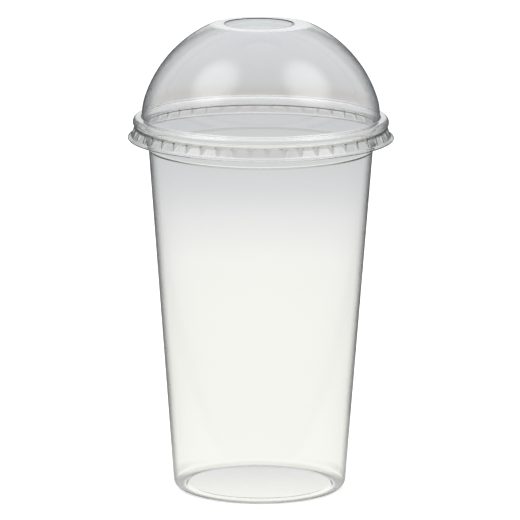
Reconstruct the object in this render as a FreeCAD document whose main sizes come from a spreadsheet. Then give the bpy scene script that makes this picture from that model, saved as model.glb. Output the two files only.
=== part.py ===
"""A clear thermoformed drinking cup with a clip-on dome lid, in millimetres.

The cup stands on its foot ring at z = 0 and its axis is Z. Each of the two pieces is one
formed sheet, so each is drawn as a line seen in section, given its thickness and turned
round the axis. The lid's grip dents are pressed in afterwards, a sheet thick like the rest.
"""
import FreeCAD, Part
import math
import os
import Sketcher

V = FreeCAD.Vector

doc = FreeCAD.newDocument("CupWithDomeLid")

# Driving sizes: name, value in millimetres, meaning
SIZES = [
    ("cup_height", 143.0, "foot ring to the top of the lip"),
    ("cup_sheet", 0.35, "thickness of the cup's wall"),
    ("base_radius", 32.6, "outside of the wall, carried down to the standing plane"),
    ("heel_bend", 3.0, "outside bend between the wall and the foot ring"),
    ("foot_width", 4.6, "foot ring, from the wall to its inner edge"),
    ("panel_slope", 0.9, "how far the base panel's edge slopes inwards"),
    ("panel_raise", 1.0, "base panel above the standing plane"),
    ("shoulder_drop", 12.1, "top of the lip down to the stacking shoulder"),
    ("shoulder_radius", 42.5, "outside of the wall just under the shoulder"),
    ("shoulder_step", 0.7, "how far the shoulder steps out"),
    ("shoulder_rise", 0.7, "height of that step"),
    ("cup_bend", 0.8, "small bends of the cup's sheet"),
    ("lip_radius", 47.4, "outside of the rolled lip"),
    ("lip_roll", 1.8, "radius of the roll, outside"),
    ("lip_sweep", 292.0, "degrees that the roll turns"),
    ("lid_sheet", 0.3, "thickness of the lid's sheet"),
    ("seat_gap", 0.1, "lid above the lip where it rests"),
    ("bead_gap", 0.8, "room between the lip and the bead round it"),
    ("snap_gap", 0.06, "room between the lip and the nibs that slip over it"),
    ("nib_bite", 0.14, "how far the nibs stand in from the neck"),
    ("bead_width", 3.3, "outside of the bead to the dome's foot"),
    ("bead_roll", 1.9, "bend over the top of the bead"),
    ("bead_side", 2.7, "top of the bead to where its side turns in"),
    ("bead_turn", 1.2, "bend where the side turns in"),
    ("neck_drop", 3.4, "top of the bead to the top of the neck"),
    ("neck_length", 0.55, "straight neck under the bead"),
    ("land_step", 0.55, "how far the lands stand out from the neck"),
    ("land_slope", 0.3, "height of the step from neck to land"),
    ("land_length", 2.95, "height of the lands"),
    ("land_flare", 0.4, "how far the lands flare outwards"),
    ("flange_width", 1.6, "flat edge outside the lands"),
    ("flange_drop", 0.75, "how far that edge slopes down"),
    ("lid_bend", 0.5, "small bends of the lid's sheet"),
    ("foot_rise", 4.6, "steep foot of the dome above the bead"),
    ("foot_lean", 0.35, "how far that foot leans inwards"),
    ("foot_bend", 20.0, "bend from the foot into the dome"),
    ("dome_height", 35.35, "top of the bead to the flat top"),
    ("crown_radius", 18.7, "edge of the flat top"),
    ("crown_bend", 5.0, "bend round the flat top"),
    ("hole_radius", 12.9, "hole for a straw or spoon"),
    ("hole_left", 0.9, "punched off centre, towards -X"),
    ("hole_back", 1.2, "punched off centre, towards +Y"),
    ("dent_count", 48, "grip dents round the skirt"),
    ("dent_radius", 1.5, "round top of a dent"),
    ("dent_out", 0.45, "point of a dent outside the foot of the lands"),
    ("dent_turn", 3.15, "degrees from -Y to the first dent, towards +X"),
]

# Places that follow from them: name, formula, meaning
PLACES = [
    ("foot_inner", "=base_radius - foot_width", "inner edge of the foot ring"),
    ("panel_radius", "=foot_inner - panel_slope", "edge of the base panel"),
    ("shoulder_height", "=cup_height - shoulder_drop", "stacking shoulder"),
    ("band_radius", "=shoulder_radius + shoulder_step", "band above the shoulder"),
    ("band_foot", "=shoulder_height + shoulder_rise", "lower end of that band"),
    ("roll_radius", "=lip_radius - lip_roll", "centre of the rolled lip"),
    ("roll_height", "=cup_height - lip_roll", "centre of the rolled lip"),
    ("roll_inside", "=lip_roll - cup_sheet", "inside radius of the roll"),
    ("bead_top", "=cup_height + seat_gap + lid_sheet", "outside top of the bead"),
    ("bead_radius", "=lip_radius + bead_gap + lid_sheet", "outside of the bead"),
    ("bead_bottom", "=bead_top - bead_side", "where the bead's side turns in"),
    ("neck_radius", "=lip_radius + snap_gap + nib_bite + lid_sheet", "outside of the neck"),
    ("neck_top", "=bead_top - neck_drop", "upper end of the neck"),
    ("neck_bottom", "=neck_top - neck_length", "lower end of the neck"),
    ("land_radius", "=neck_radius + land_step", "outside of the lands, at their top"),
    ("land_top", "=neck_bottom - land_slope", "upper edge of the lands"),
    ("flare_radius", "=land_radius + land_flare", "outside of the lands, at their foot"),
    ("land_bottom", "=land_top - land_length", "foot of the lands"),
    ("flange_radius", "=flare_radius + flange_width", "outer edge of the lid"),
    ("flange_bottom", "=land_bottom - flange_drop", "outer edge of the lid"),
    ("foot_radius", "=bead_radius - bead_width", "outside of the dome at the bead"),
    ("dome_radius", "=foot_radius - foot_lean", "outside of the dome above its foot"),
    ("dome_bottom", "=bead_top + foot_rise", "where the dome proper begins"),
    ("lid_top", "=bead_top + dome_height", "flat top, outside"),
    ("neck_middle", "=neck_radius - lid_sheet / 2", "middle of the sheet at the neck"),
    ("land_middle", "=land_radius - lid_sheet / 2", "middle of the sheet at the lands"),
    ("flare_middle", "=flare_radius - lid_sheet / 2", "middle of the sheet at their foot"),
    ("dent_axis", "=neck_radius - nib_bite + dent_radius", "centre of a dent's round top"),
    ("dent_tip", "=flare_radius + dent_out", "point of a dent, level with the lands' foot"),
    ("dent_rise", "=land_length", "that point to that centre, upwards"),
    ("dent_reach", "=sqrt(dent_rise ^ 2 + (dent_axis - dent_tip) ^ 2)", "and straight"),
    ("nib_radius", "=dent_radius + lid_sheet", "the same round on the inner side"),
    ("nib_tail", "=lid_sheet * dent_reach / dent_radius", "how much longer its point is"),
]

sheet = doc.addObject("Spreadsheet::Sheet", "Sizes")
for row, (name, content, meaning) in enumerate(SIZES + PLACES, start=1):
    sheet.set(f"A{row}", name)
    sheet.set(f"B{row}", str(content))
    sheet.setAlias(f"B{row}", name)
    sheet.set(f"C{row}", meaning)
doc.recompute()


def size(name):
    """The present value of one size or place, to start a drawing near its solution."""
    return float(sheet.get(name))


def angle_of(vector):
    return math.atan2(vector.y, vector.x)


class Section:
    """A line drawn in the XZ half plane, whose corners, bends and arcs follow the sizes."""

    def __init__(self, name, body=None):
        if body:
            self.sketch = body.newObject("Sketcher::SketchObject", name)
            self.sketch.AttachmentSupport = (origin_part(body, "XZ_Plane"), "")
            self.sketch.MapMode = "FlatFace"
        else:
            self.sketch = doc.addObject("Sketcher::SketchObject", name)
            self.sketch.Placement = FreeCAD.Placement(V(0, 0, 0), FreeCAD.Rotation(V(1, 0, 0), 90))
        self.count = 0

    def bind(self, kind, *where, to):
        """A dimension of the drawing, tied to one value of the sheet."""
        start = math.radians(size(to)) if kind == "Angle" else size(to)
        index = self.sketch.addConstraint(Sketcher.Constraint(kind, *where, start))
        label = f"{to}_{self.count}"
        self.count += 1
        self.sketch.renameConstraint(index, label)
        self.sketch.setExpression(f"Constraints.{label}", f"Sizes.{to}")

    def tie(self, kind, *where):
        self.sketch.addConstraint(Sketcher.Constraint(kind, *where))

    def line(self, start, end):
        return self.sketch.addGeometry(Part.LineSegment(start, end), False)

    def arc(self, centre, start, end, clockwise):
        """An arc and which of its ends comes first along the line: 1 or 2."""
        first, last = angle_of(start - centre), angle_of(end - centre)
        if clockwise:
            first, last = last, first
        circle = Part.Circle(centre, V(0, 0, 1), (start - centre).Length)
        index = self.sketch.addGeometry(Part.ArcOfCircle(circle, first, last), False)
        return index, (2 if clockwise else 1)

    def corner(self, across, up):
        """A construction point at a corner of the line, placed by two values of the sheet."""
        spot = V(size(across) if across else 0, size(up) if up else 0, 0)
        index = self.sketch.addGeometry(Part.Point(spot), True)
        if across:
            self.bind("DistanceX", -1, 1, index, 1, to=across)
        else:
            self.tie("PointOnObject", index, 1, -2)
        if up:
            self.bind("DistanceY", -1, 1, index, 1, to=up)
        else:
            self.tie("PointOnObject", index, 1, -1)
        return index, spot


def bend_between(before, spot, after, radius):
    """Tangent points and centre of a bend of this radius at a corner of two straight runs."""
    back = (before - spot).normalize()
    ahead = (after - spot).normalize()
    half = back.getAngle(ahead) / 2
    reach = radius / math.tan(half)
    centre = spot + (back + ahead).normalize() * (radius / math.sin(half))
    clockwise = back.cross(ahead).z > 0
    return spot + back * reach, centre, spot + ahead * reach, clockwise


def straight_runs(section, corners, start, finish):
    """Straight runs through the corners, from point start to point finish.

    A corner with a bend is rounded, one without is left crisp. Returns the first and the
    last run, so that what joins them can be tied to them."""
    placed = [section.corner(across, up) for across, up, _ in corners]
    spots = [start] + [spot for _, spot in placed] + [finish]
    turns = []
    for i, (_, _, bend) in enumerate(corners, start=1):
        if bend:
            turns.append(bend_between(spots[i - 1], spots[i], spots[i + 1], size(bend)))
        else:
            turns.append((spots[i], None, spots[i], False))
    begins = [start] + [turn[2] for turn in turns]
    ends = [turn[0] for turn in turns] + [finish]
    runs = [section.line(begin, end) for begin, end in zip(begins, ends)]
    for i, (begin, centre, end, clockwise) in enumerate(turns):
        mark, bend = placed[i][0], corners[i][2]
        if bend:
            curve, entry = section.arc(centre, begin, end, clockwise)
            section.tie("Tangent", runs[i], 2, curve, entry)
            section.tie("Tangent", runs[i + 1], 1, curve, 3 - entry)
            section.bind("Radius", curve, to=bend)
            section.tie("PointOnObject", mark, 1, runs[i])
            section.tie("PointOnObject", mark, 1, runs[i + 1])
        else:
            section.tie("Coincident", runs[i], 2, mark, 1)
            section.tie("Coincident", runs[i + 1], 1, mark, 1)
    return runs[0], runs[-1]


def formed(section, name, thickness, side):
    """The solid that a line makes: given its thickness on one side and turned round the axis."""
    strip = doc.addObject("Part::Offset2D", name + "_strip")
    strip.Source = section.sketch
    strip.Mode = "Skin"
    strip.Join = "Intersection"
    strip.Fill = True
    strip.setExpression("Value", f"{side} * Sizes.{thickness}")
    return turned(strip, name)


def turned(profile, name):
    """A closed profile turned once round the Z axis."""
    solid = doc.addObject("Part::Revolution", name)
    solid.Source = profile
    solid.Axis = V(0, 0, 1)
    solid.Base = V(0, 0, 0)
    solid.Angle = 360
    solid.Solid = True
    return solid


def make_cup():
    """Base panel, foot ring, wall, stacking shoulder and rolled lip, as one outside line."""
    section = Section("cup_line")
    corners = [
        ("panel_radius", "panel_raise", "cup_bend"),
        ("foot_inner", "", "cup_bend"),
        ("base_radius", "", "heel_bend"),
        ("shoulder_radius", "shoulder_height", "cup_bend"),
        ("band_radius", "band_foot", "cup_bend"),
    ]
    centre = V(size("roll_radius"), size("roll_height"), 0)
    band = V(size("band_radius"), size("band_foot"), 0)
    inside = size("roll_inside")
    # the band runs up to the roll and touches it
    away = centre - band
    lean = angle_of(away) + math.asin(inside / away.Length)
    reach = math.sqrt(away.Length ** 2 - inside ** 2)
    touch = band + V(math.cos(lean), math.sin(lean), 0) * reach
    first, last = straight_runs(section, corners, V(0, size("panel_raise"), 0), touch)
    section.tie("PointOnObject", first, 1, -2)
    section.tie("Horizontal", first)
    sweep = math.radians(size("lip_sweep"))
    begin = angle_of(touch - centre)
    end = centre + V(math.cos(begin - sweep), math.sin(begin - sweep), 0) * inside
    roll, entry = section.arc(centre, touch, end, clockwise=True)
    section.tie("Tangent", last, 2, roll, entry)
    section.bind("DistanceX", -1, 1, roll, 3, to="roll_radius")
    section.bind("DistanceY", -1, 1, roll, 3, to="roll_height")
    section.bind("Radius", roll, to="roll_inside")
    section.bind("Angle", roll, to="lip_sweep")
    return formed(section, "cup", "cup_sheet", 1)


def dome_centre():
    """Height on the axis of the centre of the arc that joins the foot and the flat top."""
    low = V(size("dome_radius"), size("dome_bottom"), 0)
    high = V(size("crown_radius"), size("lid_top"), 0)
    return (high.dot(high) - low.dot(low)) / (2 * (high.y - low.y))


def bend_on_dome(centre, radius, spot, along, bend):
    """Tangent points and centre of a bend between the dome's arc and a straight run."""
    inward = V(-along.y, along.x, 0)
    if inward.dot(centre - spot) < 0:
        inward = -inward
    start = spot + inward * bend - centre
    half = start.dot(along)
    root = math.sqrt(half ** 2 - start.dot(start) + (radius - bend) ** 2)
    shift = min(root - half, -root - half, key=abs)
    middle = spot + inward * bend + along * shift
    return spot + along * shift, middle, centre + (middle - centre).normalize() * radius


def make_lid_blank():
    """Flat top, dome, foot, bead, neck, lands and flange, as one outside line."""
    section = Section("lid_line")
    corners = [
        ("foot_radius", "bead_top", "lid_bend"),
        ("bead_radius", "bead_top", "bead_roll"),
        ("bead_radius", "bead_bottom", "bead_turn"),
        ("neck_radius", "neck_top", "lid_bend"),
        ("neck_radius", "neck_bottom", ""),
        ("land_radius", "land_top", ""),
        ("flare_radius", "land_bottom", ""),
    ]
    centre = V(0, dome_centre(), 0)
    crown_mark, crown = section.corner("crown_radius", "lid_top")
    foot_mark, foot = section.corner("dome_radius", "dome_bottom")
    radius = (crown - centre).Length
    foot_end = V(size("foot_radius"), size("bead_top"), 0)
    down = (foot_end - foot).normalize()
    top_end, top_middle, arc_start = bend_on_dome(
        centre, radius, crown, V(-1, 0, 0), size("crown_bend"))
    foot_start, foot_middle, arc_end = bend_on_dome(
        centre, radius, foot, down, size("foot_bend"))

    top = section.line(V(0, crown.y, 0), top_end)
    section.tie("PointOnObject", top, 1, -2)
    section.tie("Horizontal", top)
    section.tie("PointOnObject", crown_mark, 1, top)
    dome, dome_entry = section.arc(centre, arc_start, arc_end, clockwise=True)
    section.tie("PointOnObject", dome, 3, -2)
    section.tie("PointOnObject", crown_mark, 1, dome)
    section.tie("PointOnObject", foot_mark, 1, dome)
    flange_end = V(size("flange_radius"), size("flange_bottom"), 0)
    first, last = straight_runs(section, corners, foot_start, flange_end)
    section.tie("PointOnObject", foot_mark, 1, first)
    section.bind("DistanceX", -1, 1, last, 2, to="flange_radius")
    section.bind("DistanceY", -1, 1, last, 2, to="flange_bottom")

    over, over_entry = section.arc(top_middle, top_end, arc_start, clockwise=True)
    section.tie("Tangent", top, 2, over, over_entry)
    section.tie("Tangent", over, 3 - over_entry, dome, dome_entry)
    section.bind("Radius", over, to="crown_bend")
    under, under_entry = section.arc(foot_middle, arc_end, foot_start, clockwise=True)
    section.tie("Tangent", dome, 3 - dome_entry, under, under_entry)
    section.tie("Tangent", under, 3 - under_entry, first, 1)
    section.bind("Radius", under, to="foot_bend")
    return formed(section, "lid_blank", "lid_sheet", -1)


def drop_ring(name, radius, tail):
    """A ring of the dents' shape: a round top that runs down to a point outside the lands.

    The tail lengthens the point, so that a larger drop keeps one distance from a smaller."""
    body = doc.addObject("PartDesign::Body", name)
    body.AllowCompound = True
    section = Section(name + "_half", body)
    tip_mark, foot = section.corner("dent_tip", "land_bottom")
    middle_mark, middle = section.corner("dent_axis", "land_top")
    along = (foot - middle).normalize()
    reach = size(radius)
    tip = foot + along * (size(tail) if tail else 0)
    pole = middle - along * reach
    lean = math.asin(reach / (tip - middle).Length)
    side = angle_of(middle - tip) - lean
    run = math.sqrt((tip - middle).Length ** 2 - reach ** 2)
    touch = tip + V(math.cos(side), math.sin(side), 0) * run
    spine = section.line(tip, pole)
    flank = section.line(tip, touch)
    curve, entry = section.arc(middle, touch, pole, clockwise=False)
    section.tie("Coincident", spine, 1, flank, 1)
    section.tie("Tangent", flank, 2, curve, entry)
    section.tie("Coincident", curve, 3 - entry, spine, 2)
    section.tie("Coincident", curve, 3, middle_mark, 1)
    section.tie("PointOnObject", middle_mark, 1, spine)
    section.bind("Radius", curve, to=radius)
    if tail:
        section.tie("PointOnObject", tip_mark, 1, spine)
        section.bind("Distance", tip_mark, 1, spine, 1, to=tail)
    else:
        section.tie("Coincident", tip_mark, 1, spine, 1)
    doc.recompute()
    drop = body.newObject("PartDesign::Revolution", name + "_drop")
    drop.Profile = section.sketch
    drop.ReferenceAxis = (section.sketch, ["Edge1"])
    drop.Angle = 360
    doc.recompute()
    ring = body.newObject("PartDesign::PolarPattern", name + "_pattern")
    ring.Originals = [drop]
    ring.Axis = (origin_part(body, "Z_Axis"), [""])
    ring.Angle = 360
    ring.setExpression("Occurrences", "Sizes.dent_count")
    body.Tip = ring
    body.setExpression("Placement.Rotation.Angle", "Sizes.dent_turn")
    return body


def make_lid(blank):
    """The formed sheet with its dents, whose walls are a sheet thick, and its punched hole."""
    limit = Section("nib_limit_line")
    outline = [
        ("lip_radius", "neck_top"),
        ("neck_middle", "neck_top"),
        ("neck_middle", "neck_bottom"),
        ("land_middle", "land_top"),
        ("flare_middle", "land_bottom"),
        ("lip_radius", "land_bottom"),
    ]
    marks = [limit.corner(across, up) for across, up in outline]
    for i, (mark, spot) in enumerate(marks):
        following, goal = marks[(i + 1) % len(marks)]
        edge = limit.line(spot, goal)
        limit.tie("Coincident", edge, 1, mark, 1)
        limit.tie("Coincident", edge, 2, following, 1)
    limit_ring = turned(limit.sketch, "nib_limit")
    nibs = drop_ring("nibs", "nib_radius", "nib_tail")
    hollows = drop_ring("dents", "dent_radius", "")
    punch = doc.addObject("Part::Cylinder", "punch")
    punch.setExpression("Radius", "Sizes.hole_radius")
    punch.setExpression("Height", "Sizes.dome_height")
    punch.setExpression("Placement.Base.x", "-Sizes.hole_left")
    punch.setExpression("Placement.Base.y", "Sizes.hole_back")
    punch.setExpression("Placement.Base.z", "Sizes.dome_bottom")
    punched = boolean("Part::Cut", "punched_lid", blank, punch)
    walls = boolean("Part::Common", "nib_walls", limit_ring, nibs)
    thick = boolean("Part::Fuse", "lid_with_nibs", punched, walls)
    return boolean("Part::Cut", "dome_lid", thick, hollows)


def boolean(kind, name, base, tool):
    """Two solids joined, cut or met, with every edge kept where it falls."""
    result = doc.addObject(kind, name)
    result.Base = base
    result.Tool = tool
    result.Refine = False
    return result


def origin_part(body, role):
    return [part for part in body.Origin.OriginFeatures if part.Role == role][0]


cup = make_cup()
lid = make_lid(make_lid_blank())
doc.recompute()
for thing in doc.Objects:
    if "Invalid" in thing.State or "Error" in thing.State:
        raise RuntimeError(f"{thing.Name} failed: {thing.State}")
os.makedirs("parts", exist_ok=True)
for part in (cup, lid):
    shape = part.Shape
    if shape.isNull() or not shape.isValid() or len(shape.Solids) != 1:
        raise RuntimeError(f"{part.Label} is not one valid solid")
    shape.exportStep(f"parts/{part.Label}.step")
    print(part.Label, round(shape.Volume, 1), "cubic mm,", len(shape.Faces), "faces")
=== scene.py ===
import math

import bmesh
import bpy
from mathutils import Matrix, Vector


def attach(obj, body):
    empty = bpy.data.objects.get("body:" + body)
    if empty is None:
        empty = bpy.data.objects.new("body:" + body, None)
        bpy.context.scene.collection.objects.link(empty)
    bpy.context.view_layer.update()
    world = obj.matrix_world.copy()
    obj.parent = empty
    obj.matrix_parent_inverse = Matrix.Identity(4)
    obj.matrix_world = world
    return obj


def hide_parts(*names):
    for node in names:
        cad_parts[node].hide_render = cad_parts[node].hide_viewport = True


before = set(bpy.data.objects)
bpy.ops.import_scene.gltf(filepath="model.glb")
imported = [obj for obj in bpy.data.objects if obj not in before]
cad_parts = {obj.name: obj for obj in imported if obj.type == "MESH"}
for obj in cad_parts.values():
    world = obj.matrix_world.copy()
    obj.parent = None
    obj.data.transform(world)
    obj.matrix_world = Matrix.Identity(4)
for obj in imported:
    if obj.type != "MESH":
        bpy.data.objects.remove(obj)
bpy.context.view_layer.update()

mm = 0.001
weld = 0.002 * mm    # vertices nearer than this become one
scene = bpy.context.scene


# the photograph's own viewpoint: a long lens looking slightly down
cameraSet = {
    "distance": 2259.0,    # mm in front of the cup's axis
    "height": 549.3,       # mm above the floor
    "lookDown": 11.545,    # degrees
    "roll": 0.0038,        # radians, the photo leans a little
    "lens": 419.6, "sensor": 36,    # mm
    "shiftX": -0.0007,     # share of the frame's width
    "near": 0.1, "far": 20,    # m, the depth that it sees
}


def placeCamera(s):
    data = bpy.data.cameras.new("photoCamera")
    data.lens = s["lens"]
    data.sensor_width = s["sensor"]
    data.shift_x = s["shiftX"]
    data.clip_start = s["near"]
    data.clip_end = s["far"]
    camera = bpy.data.objects.new("photoCamera", data)
    scene.collection.objects.link(camera)
    place = Matrix.Translation((0, -s["distance"] * mm, s["height"] * mm))
    tilt = Matrix.Rotation(math.radians(90 - s["lookDown"]), 4, "X")
    camera.matrix_world = place @ tilt @ Matrix.Rotation(s["roll"], 4, "Z")
    scene.camera = camera


placeCamera(cameraSet)
print("camera placed")


def toLinear(hexColour):
    # sRGB hex to the linear values that shaders take
    values = [int(hexColour[i:i + 2], 16) / 255 for i in (0, 2, 4)]
    return [v / 12.92 if v <= 0.04045 else ((v + 0.055) / 1.055) ** 2.4 for v in values] + [1]


white = toLinear("FFFFFF")


def addNode(tree, kind, settings=None, inputs=None, links=None):
    # links: socket name or number -> (other node, its output)
    node = tree.nodes.new(kind)
    for name, value in (settings or {}).items():
        setattr(node, name, value)
    for name, value in (inputs or {}).items():
        node.inputs[name].default_value = value
    for name, (other, output) in (links or {}).items():
        tree.links.new(other.outputs[output], node.inputs[name])
    return node


def newMaterial(name):
    material = bpy.data.materials.new(name)
    material.use_nodes = True
    material.node_tree.nodes.clear()
    return material, material.node_tree


def penStart(bm, x, z):
    return bm.verts.new((x * mm, 0, z * mm))


def penLine(bm, pen, x, z):
    made = bmesh.ops.extrude_vert_indiv(bm, verts=[pen])
    tip = made["verts"][0]
    tip.co = (x * mm, 0, z * mm)
    return tip


def penArc(bm, pen, centre, degrees, steps):
    # turns the pen about a centre, clockwise in the drawing for a positive angle
    made = bmesh.ops.spin(bm, geom=[pen], cent=(centre[0] * mm, 0, centre[1] * mm),
                          axis=(0, 1, 0), angle=math.radians(degrees), steps=steps)
    return [v for v in made["geom_last"] if isinstance(v, bmesh.types.BMVert)][0]


def roundCorner(bm, corner, radius, steps):
    # rounds one corner of the drawn line, to a real bend radius in mm
    before, after = [e.other_vert(corner).co for e in corner.link_edges]
    turn = math.pi - (before - corner.co).angle(after - corner.co)
    bmesh.ops.bevel(bm, geom=[corner], offset=radius * mm * math.tan(turn / 2),
                    offset_type="OFFSET", segments=steps, profile=0.5,
                    affect="VERTICES", material=-1)


def spinRound(bm, steps):
    # turns the drawn line once round the Z axis and closes seam and pole
    bmesh.ops.spin(bm, geom=bm.verts[:] + bm.edges[:], cent=(0, 0, 0), axis=(0, 0, 1),
                   angle=2 * math.pi, steps=steps, use_merge=True)
    bmesh.ops.remove_doubles(bm, verts=bm.verts, dist=weld)
    bmesh.ops.recalc_face_normals(bm, faces=bm.faces)


def finishPiece(bm, name, body, node, material):
    mesh = bpy.data.meshes.new(name)
    bm.to_mesh(mesh)
    bm.free()
    mesh.polygons.foreach_set("use_smooth", [True] * len(mesh.polygons))
    piece = bpy.data.objects.new(name, mesh)
    scene.collection.objects.link(piece)
    mesh.materials.append(material)
    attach(piece, body)
    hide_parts(node)


cupClear = {
    "facing": "FFFFFF", "paintedEdgeShade": "505458",    # seen square on, and the painted outline shade, seen along the sheet
    "edgeStart": 0.62, "edgeEnd": 0.95,      # how slanting the sheet is, from 0 to 1
    "formed": "E4E1DC", "formedSlant": 0.5,    # painted shade at tight bends and ribs: tint, added slant
    "ior": 1.5,
    "roughness": 0.03,
    "rippleScale": 0.09,    # ripples per mm
    "rippleDetail": 2.0,
    "rippleHeight": 0.02,   # mm
}
# the lid's painted shade comes on earlier, and more gently, towards its outline
lidClear = dict(cupClear, edgeStart=0.52, edgeEnd=0.97)


def clearPet(name, s):
    # thermoformed PET sheet: glass clear, thin, with a faint stretch ripple in its wall, and
    # painted shade at its outline, bends and ribs
    material, tree = newMaterial(name)
    place = addNode(tree, "ShaderNodeTexCoord")
    ripple = addNode(tree, "ShaderNodeTexNoise", None,
                     {"Scale": s["rippleScale"] / mm, "Detail": s["rippleDetail"]},
                     {"Vector": (place, "Object")})
    bump = addNode(tree, "ShaderNodeBump", None,
                   {"Strength": 1.0, "Distance": s["rippleHeight"] * mm},
                   {"Height": (ripple, "Fac")})
    # painted shade: the sheet's colour darkens towards its outline, where it is seen along the
    # sheet; where the painted bend shade mask is set, at tight bends and ribs, it is tinted and
    # darkens at a smaller slant
    slant = addNode(tree, "ShaderNodeLayerWeight", None, {"Blend": 0.5})
    # a mask of painted shade at the heel, stacking shoulder, neck, lands and ribs
    formed = addNode(tree, "ShaderNodeAttribute", {"attribute_name": "paintedBendShadeMask"})
    shadedSlant = addNode(tree, "ShaderNodeMath", {"operation": "MULTIPLY_ADD"},
                      {1: s["formedSlant"]}, {0: (formed, "Fac"), 2: (slant, "Facing")})
    # painted outline shade: clear white square on, dark grey along the sheet
    rim = addNode(tree, "ShaderNodeValToRGB", None, None, {"Fac": (shadedSlant, "Value")})
    rim.color_ramp.interpolation = "EASE"
    for element, position, colour in zip(rim.color_ramp.elements, ("edgeStart", "edgeEnd"),
                                         ("facing", "paintedEdgeShade")):
        element.position = s[position]
        element.color = toLinear(s[colour])
    tint = addNode(tree, "ShaderNodeMix", {"data_type": "RGBA", "blend_type": "MULTIPLY"},
                   {7: toLinear(s["formed"])}, {0: (formed, "Fac"), 6: (rim, "Color")})
    shader = addNode(tree, "ShaderNodeBsdfPrincipled", None,
                     {"IOR": s["ior"], "Roughness": s["roughness"],
                      "Transmission Weight": 1.0},
                     {"Base Color": (tint, 2), "Normal": (bump, "Normal")})
    addNode(tree, "ShaderNodeOutputMaterial", None, None, {"Surface": (shader, "BSDF")})
    return material


cupPlastic = clearPet("clearThermoformedPetCup", cupClear)
lidPlastic = clearPet("clearThermoformedPetLid", lidClear)
print("plastics made")


# sizes in mm from the axis and the floor, turns in degrees
cup = {
    "sheet": 0.35,
    "panelRadius": 27.1, "panelRaise": 1.0,
    "footInner": 28.0, "baseRadius": 32.6,
    "shoulderRadius": 42.5, "shoulderHeight": 130.9,
    "bandRadius": 43.2, "bandFoot": 131.6,
    "bend": 0.8, "heelBend": 3.0,
    "rollRadius": 45.6, "rollHeight": 141.2,    # the middle of the rolled lip
    "rollInside": 1.45, "rollSweep": 292,       # its own radius and turn
    "stepsRound": 256, "bendSteps": 4, "heelSteps": 8, "rollSteps": 28,
    # amounts of painted shade at the heel and the shoulder
    "heelPaintedShade": 0.4, "shoulderPaintedShade": 0.6,
    "shoulderReach": 0.15,    # how far below its corner the shoulder's painted shade reaches
}


def tangentFrom(point, centre, radius):
    # where the line from a point touches a circle, on its axis side
    away = Vector(centre) - Vector(point)
    lean = math.atan2(away.y, away.x) + math.asin(radius / away.length)
    reach = math.sqrt(away.length_squared - radius ** 2)
    return Vector(point) + Vector((math.cos(lean), math.sin(lean))) * reach


def makeCup(c):
    bm = bmesh.new()
    pen = penStart(bm, 0, c["panelRaise"])
    pen = panelEdge = penLine(bm, pen, c["panelRadius"], c["panelRaise"])
    pen = footInner = penLine(bm, pen, c["footInner"], 0)
    pen = heel = penLine(bm, pen, c["baseRadius"], 0)
    pen = shoulder = penLine(bm, pen, c["shoulderRadius"], c["shoulderHeight"])
    pen = band = penLine(bm, pen, c["bandRadius"], c["bandFoot"])
    roll = (c["rollRadius"], c["rollHeight"])
    touch = tangentFrom((c["bandRadius"], c["bandFoot"]), roll, c["rollInside"])
    pen = penLine(bm, pen, touch.x, touch.y)
    penArc(bm, pen, roll, c["rollSweep"], c["rollSteps"])
    for corner in (panelEdge, footInner, shoulder, band):
        roundCorner(bm, corner, c["bend"], c["bendSteps"])
    roundCorner(bm, heel, c["heelBend"], c["heelSteps"])
    spinRound(bm, c["stepsRound"])
    floorSide = min(bm.faces, key=lambda face: face.calc_center_median().length)
    if floorSide.normal.z > 0:    # the rolled lip can turn the whole sheet inside out
        bmesh.ops.reverse_faces(bm, faces=bm.faces)
    bmesh.ops.solidify(bm, geom=bm.faces[:], thickness=c["sheet"] * mm)
    # painted shade on the heel and the stacking shoulder
    bendShadeLayer = bm.verts.layers.float.new("paintedBendShadeMask")
    for vert in bm.verts:
        radius, z = vert.co.xy.length / mm, vert.co.z / mm
        if z < c["heelBend"] / 2 and radius > c["footInner"] + c["bend"]:
            vert[bendShadeLayer] = c["heelPaintedShade"]
        elif -c["shoulderReach"] < z - c["shoulderHeight"] < c["bend"]:
            vert[bendShadeLayer] = c["shoulderPaintedShade"]
    return bm


finishPiece(makeCup(cup), "cupWall", "cup", "cup", cupPlastic)
print("cup made")


# sizes in mm as for the cup, turns in degrees
lid = {
    "sheet": 0.3,
    "holeRadius": 12.9, "holeLeft": 0.9, "holeBack": 1.2,
    "holeRing": 0.15,    # the ring beside the hole, as a share of the flat top
    "crownRadius": 18.7, "crownBend": 5.0, "top": 178.75,
    "domeRadius": 44.85, "domeBottom": 148.0, "footBend": 20.0,
    "footRadius": 45.2, "beadTop": 143.4, "beadRadius": 48.5, "beadBottom": 140.7,
    "beadRoll": 1.9, "beadTurn": 1.2,    # its two bend radii
    "neckRadius": 47.9, "neckTop": 140.0, "neckBottom": 139.3,
    "landRadius": 47.5, "landTop": 138.95,
    "flareRadius": 49.1, "landBottom": 136.2,
    "flangeRadius": 50.45, "flangeBottom": 135.45,
    "bend": 0.5, "crispBend": 0.15,
    "crownSteps": 6, "domeSteps": 17, "footSteps": 7,
    "runsAbove": 136.0, "shortRun": 0.4, "runCuts": 4,    # the skirt's long runs are cut up
    "ribs": 48, "ribTurn": 3.15, "stepsPerRib": 14,
    "ribSteps": 3,       # of those, the ones in half a rib
    "ribHalfWidth": 1.4, "ribHalfFoot": 0.3,
    # amounts of painted shade on the lands, ribs and neck
    "landPaintedShade": 0.2, "ribPaintedShade": 0.3, "neckPaintedShade": 0.7,
    "fullRise": 0.6,     # a rib that rises this much gets the full painted rib shade
}


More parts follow.
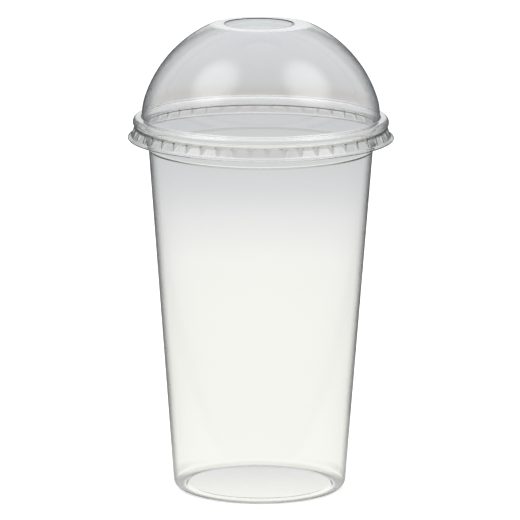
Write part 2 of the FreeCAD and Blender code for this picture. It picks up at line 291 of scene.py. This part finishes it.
def shiftHole(vert, c, crownX):
    # the hole was punched off centre in the flat top
    radius = vert.co.xy.length / mm
    if vert.co.z / mm > c["top"] - 2 * c["sheet"] and radius < crownX:
        share = (crownX - radius) / (crownX - c["holeRadius"])
        vert.co.x -= c["holeLeft"] * mm * min(share, 1)
        vert.co.y += c["holeBack"] * mm * min(share, 1)


def between(value, places):
    # straight interpolation in a rising list of (place, result)
    for (a, first), (b, second) in zip(places, places[1:]):
        if value <= b:
            return first + (second - first) * max(0, value - a) / (b - a)
    return places[-1][1]


def raiseRib(vert, c, bendShadeLayer):
    # a grip rib: a ridge between two lands, round at its top, that runs out at their foot
    radius, z = vert.co.xy.length / mm, vert.co.z / mm
    if not c["landBottom"] < z < c["neckTop"]:
        return
    foot = (c["landBottom"], c["flareRadius"])
    crest = between(z, [foot, (c["neckTop"], c["neckRadius"])])
    ground = between(z, [foot, (c["landTop"], c["landRadius"]),
                         (c["neckBottom"], c["neckRadius"])])
    width = between(z, [(c["landBottom"], c["ribHalfFoot"]), (c["landTop"], c["ribHalfWidth"])])
    roundness = max((z - c["landTop"]) / (c["neckTop"] - c["landTop"]), 0)
    width = max(width * math.sqrt(1 - roundness ** 2), c["ribHalfFoot"])
    # where the vertex stands, from 0 in the middle of a rib to 1 in the middle of a land
    pitch = 2 * math.pi / c["ribs"]
    angle = math.atan2(vert.co.x, -vert.co.y) - math.radians(c["ribTurn"])
    offset = (angle + pitch / 2) % pitch - pitch / 2
    share = abs(offset) / (pitch / 2)
    border = c["ribSteps"] / c["stepsPerRib"] * 2
    # the steps in the rib are set to its width, and the others share the land
    halfPitch = pitch / 2 * radius
    if share <= border:
        across = width * share / border
    else:
        across = width + (halfPitch - width) * (share - border) / (1 - border)
    turn = math.copysign(across / radius, offset) - offset
    rise = (crest - ground) * max(0, 1 - share / border)
    reach = (radius + rise) / radius
    raised = Vector((vert.co.x * reach, vert.co.y * reach, vert.co.z))
    vert.co = Matrix.Rotation(turn, 3, "Z") @ raised
    # painted shade: on the neck and lands, and more on a rib by its rise
    vert[bendShadeLayer] = c["neckPaintedShade"] if z > c["landTop"] else c["landPaintedShade"]
    if share < border * 0.99:    # inside the rib, not on its border: painted shade grows with the rib's rise
        vert[bendShadeLayer] += min((crest - ground) / c["fullRise"], 1) * c["ribPaintedShade"]


def makeLid(c):
    bm = bmesh.new()
    top, bend, footBend = c["top"], c["crownBend"], c["footBend"]
    # the dome is one arc, centred on the axis, through the crown's edge and the foot
    low, high = (c["domeRadius"], c["domeBottom"]), (c["crownRadius"], top)
    middle = high[0] ** 2 + high[1] ** 2 - low[0] ** 2 - low[1] ** 2
    middle /= 2 * (high[1] - low[1])
    dome = math.hypot(high[0], high[1] - middle)
    # the crown's bend touches the flat top and the dome
    crownX = math.sqrt((dome - bend) ** 2 - (top - bend - middle) ** 2)
    crownAngle = math.degrees(math.atan2(crownX, top - bend - middle))
    # the foot's bend touches the dome and the straight foot below it
    down = Vector((c["footRadius"] - low[0], c["beadTop"] - low[1])).normalized()
    inward = Vector((down.y, -down.x))
    start = Vector(low) + inward * footBend - Vector((0, middle))
    half = start.dot(down)
    root = math.sqrt(half ** 2 - start.length_squared + (dome - footBend) ** 2)
    shift = min(root - half, -root - half, key=abs)
    footMiddle = Vector(low) + inward * footBend + down * shift
    footAngle = math.degrees(math.atan2(footMiddle.x, footMiddle.y - middle))
    endAngle = math.degrees(math.atan2(-inward.x, -inward.y))

    pen = penStart(bm, c["holeRadius"], top)
    for share in (c["holeRing"], 1.0):
        pen = penLine(bm, pen, c["holeRadius"] + (crownX - c["holeRadius"]) * share, top)
    pen = penArc(bm, pen, (crownX, top - bend), crownAngle, c["crownSteps"])
    pen = penArc(bm, pen, (0, middle), footAngle - crownAngle, c["domeSteps"])
    pen = penArc(bm, pen, footMiddle, endAngle - footAngle, c["footSteps"])
    corners = []
    for across, up, radius, steps in (
            ("footRadius", "beadTop", "bend", 4),
            ("beadRadius", "beadTop", "beadRoll", 7),
            ("beadRadius", "beadBottom", "beadTurn", 3),
            ("neckRadius", "neckTop", "bend", 2),
            ("neckRadius", "neckBottom", "crispBend", 1),
            ("landRadius", "landTop", "crispBend", 1),
            ("flareRadius", "landBottom", "crispBend", 1)):
        pen = penLine(bm, pen, c[across], c[up])
        corners.append((pen, c[radius], steps))
    penLine(bm, pen, c["flangeRadius"], c["flangeBottom"])
    for corner, radius, steps in corners:
        roundCorner(bm, corner, radius, steps)
    runs = [e for e in bm.edges if c["runsAbove"] < e.verts[0].co.z / mm < c["neckTop"]
            and e.calc_length() > c["shortRun"] * mm]
    bmesh.ops.subdivide_edges(bm, edges=runs, cuts=c["runCuts"])
    spinRound(bm, c["ribs"] * c["stepsPerRib"])
    bmesh.ops.solidify(bm, geom=bm.faces[:], thickness=c["sheet"] * mm)
    # painted shade on the neck, lands and ribs, set in raiseRib
    bendShadeLayer = bm.verts.layers.float.new("paintedBendShadeMask")
    for vert in bm.verts:
        shiftHole(vert, c, crownX)
        raiseRib(vert, c, bendShadeLayer)
    return bm


finishPiece(makeLid(lid), "domeLid", "lid", "dome_lid", lidPlastic)
print("lid made")


studio = {
    "floorSize": 3.0,             # m, half its side
    "paperGlow": 0.45,            # share of the paper's white that no shadow takes away
    "paper": "F4F4F4",
    # painted light and shade on the paper, that clear plastic alone passes on or mirrors: m
    # from the cup's axis, colour
    "paperReach": 2.0,            # m, beyond the last colour of each
    "paintedLightSeenThrough": [(0.30, "FAFAF4"), (0.43, "F8F8F3"), (0.52, "ECECEB"),
                         (0.60, "D9DCDD"), (0.68, "D0D1D2"), (0.80, "CBCCCE"),
                         (0.875, "BFBDBB"), (0.93, "C9CACC"), (1.05, "D2D5D8"),
                         (1.25, "D8DCE0")],
    # painted reflection of the paper: pale next to the cup, dark grey further off
    "paintedPaperReflection": [(0.05, "C4C2BE"), (0.13, "6E6E6E"), (0.40, "505152"),
                      (1.00, "3C3D3E")],
    "backdropLow": "DDE0E2", "backdropHigh": "FFFFFF",    # behind plastic, by height
    "backdropClimb": (0.02, 0.14),    # upward share of a ray's direction, low and high
    "roomLight": 0.62,            # even light on the paper
    "roomMirrored": "5A5C5E",     # the dim room that gives the plastic its dark edges
    # softboxes, seen only as reflections: direction, degrees across with a soft rim, strength
    "softboxes": [((-0.62, -0.23, 0.75), 16, 10, 4.0), ((0.62, -0.23, 0.75), 16, 10, 4.0),
                  ((0.0, 0.96, 0.26), 12, 6, 1.4)],
    "sheetBounces": 32, "mirrorBounces": 12,    # enough for a ray through every wall
}


def distanceRamp(tree, reach, stops):
    # colour by distance from the cup's axis
    place = addNode(tree, "ShaderNodeTexCoord")
    flat = addNode(tree, "ShaderNodeVectorMath", {"operation": "LENGTH"}, None,
                   {0: (place, "Object")})
    share = addNode(tree, "ShaderNodeMath", {"operation": "DIVIDE"}, {1: reach},
                    {0: (flat, "Value")})
    ramp = addNode(tree, "ShaderNodeValToRGB", None, None, {"Fac": (share, "Value")})
    while len(ramp.color_ramp.elements) < len(stops):
        ramp.color_ramp.elements.new(0.5)
    for element, (distance, colour) in zip(ramp.color_ramp.elements, stops):
        element.position = distance / reach
        element.color = toLinear(colour)
    return ramp


def makeFloor(s):
    bm = bmesh.new()
    bmesh.ops.create_grid(bm, x_segments=1, y_segments=1, size=s["floorSize"])
    mesh = bpy.data.meshes.new("studioFloor")
    bm.to_mesh(mesh)
    bm.free()
    floor = bpy.data.objects.new("studioFloor", mesh)
    scene.collection.objects.link(floor)
    material, tree = newMaterial("matteStudioPaper")
    path = addNode(tree, "ShaderNodeLightPath")
    glow = addNode(tree, "ShaderNodeEmission", None,
                   {"Color": white, "Strength": s["paperGlow"]})
    matte = addNode(tree, "ShaderNodeBsdfDiffuse", None, {"Color": toLinear(s["paper"])})
    paper = addNode(tree, "ShaderNodeAddShader", None, None,
                    {0: (glow, "Emission"), 1: (matte, "BSDF")})
    # the camera and bounced light meet paper, and clear plastic shows a card of set greys,
    # painted light and shade by distance from the cup
    through = distanceRamp(tree, s["paperReach"], s["paintedLightSeenThrough"])
    mirrored = distanceRamp(tree, s["paperReach"], s["paintedPaperReflection"])
    beyond = addNode(tree, "ShaderNodeMix", {"data_type": "RGBA"}, None,
                     {0: (path, "Is Transmission Ray"), 6: (mirrored, "Color"),
                      7: (through, "Color")})
    card = addNode(tree, "ShaderNodeEmission", None, None, {"Color": (beyond, 2)})
    straight = addNode(tree, "ShaderNodeMath", {"operation": "MAXIMUM"}, None,
                       {0: (path, "Is Camera Ray"), 1: (path, "Is Diffuse Ray")})
    shown = addNode(tree, "ShaderNodeMixShader", None, None,
                    {0: (straight, "Value"), 1: (card, "Emission"), 2: (paper, "Shader")})
    addNode(tree, "ShaderNodeOutputMaterial", None, None, {"Surface": (shown, "Shader")})
    mesh.materials.append(material)


def makeWorld(s):
    world = bpy.data.worlds.new("softStudio")
    scene.world = world
    world.use_nodes = True
    tree = world.node_tree
    tree.nodes.clear()
    path = addNode(tree, "ShaderNodeLightPath")
    place = addNode(tree, "ShaderNodeTexCoord")
    light = None
    for direction, across, rim, strength in s["softboxes"]:
        aim = Vector(direction).normalized()
        facing = addNode(tree, "ShaderNodeVectorMath", {"operation": "DOT_PRODUCT"},
                         {1: aim}, {0: (place, "Generated")})
        glow = addNode(tree, "ShaderNodeMapRange", {"interpolation_type": "SMOOTHSTEP"},
                       {"From Min": math.cos(math.radians(across + rim)),
                        "From Max": math.cos(math.radians(max(across - rim, 0))),
                        "To Max": strength}, {"Value": (facing, "Value")})
        if light:
            light = addNode(tree, "ShaderNodeMath", {"operation": "ADD"}, None,
                            {0: (light, 0), 1: (glow, "Result")})
        else:
            light = glow
    room = addNode(tree, "ShaderNodeMix", {"data_type": "RGBA", "blend_type": "ADD"},
                   {0: 1.0, 6: toLinear(s["roomMirrored"])}, {7: (light, 0)})
    height = addNode(tree, "ShaderNodeSeparateXYZ", None, None, {0: (place, "Generated")})
    lowest, highest = s["backdropClimb"]
    climb = addNode(tree, "ShaderNodeMapRange", None, {"From Min": lowest, "From Max": highest},
                    {"Value": (height, "Z")})
    backdrop = addNode(tree, "ShaderNodeMix", {"data_type": "RGBA"},
                       {6: toLinear(s["backdropLow"]), 7: toLinear(s["backdropHigh"])},
                       {0: (climb, "Result")})
    # a reflection meets the room, a ray through plastic the backdrop, light bounced off
    # paper an even grey, and the camera plain white
    through = addNode(tree, "ShaderNodeMix", {"data_type": "RGBA"}, None,
                      {0: (path, "Is Transmission Ray"), 6: (room, 2), 7: (backdrop, 2)})
    even = s["roomLight"]
    lit = addNode(tree, "ShaderNodeMix", {"data_type": "RGBA"}, {7: (even, even, even, 1)},
                  {0: (path, "Is Diffuse Ray"), 6: (through, 2)})
    shown = addNode(tree, "ShaderNodeMix", {"data_type": "RGBA"}, {7: white},
                    {0: (path, "Is Camera Ray"), 6: (lit, 2)})
    back = addNode(tree, "ShaderNodeBackground", None, None, {"Color": (shown, 2)})
    addNode(tree, "ShaderNodeOutputWorld", None, None, {"Surface": (back, "Background")})


makeFloor(studio)
makeWorld(studio)
scene.view_settings.view_transform = "Standard"
scene.cycles.max_bounces = studio["sheetBounces"]
scene.cycles.transmission_bounces = studio["sheetBounces"]
scene.cycles.glossy_bounces = studio["mirrorBounces"]
print("studio made")
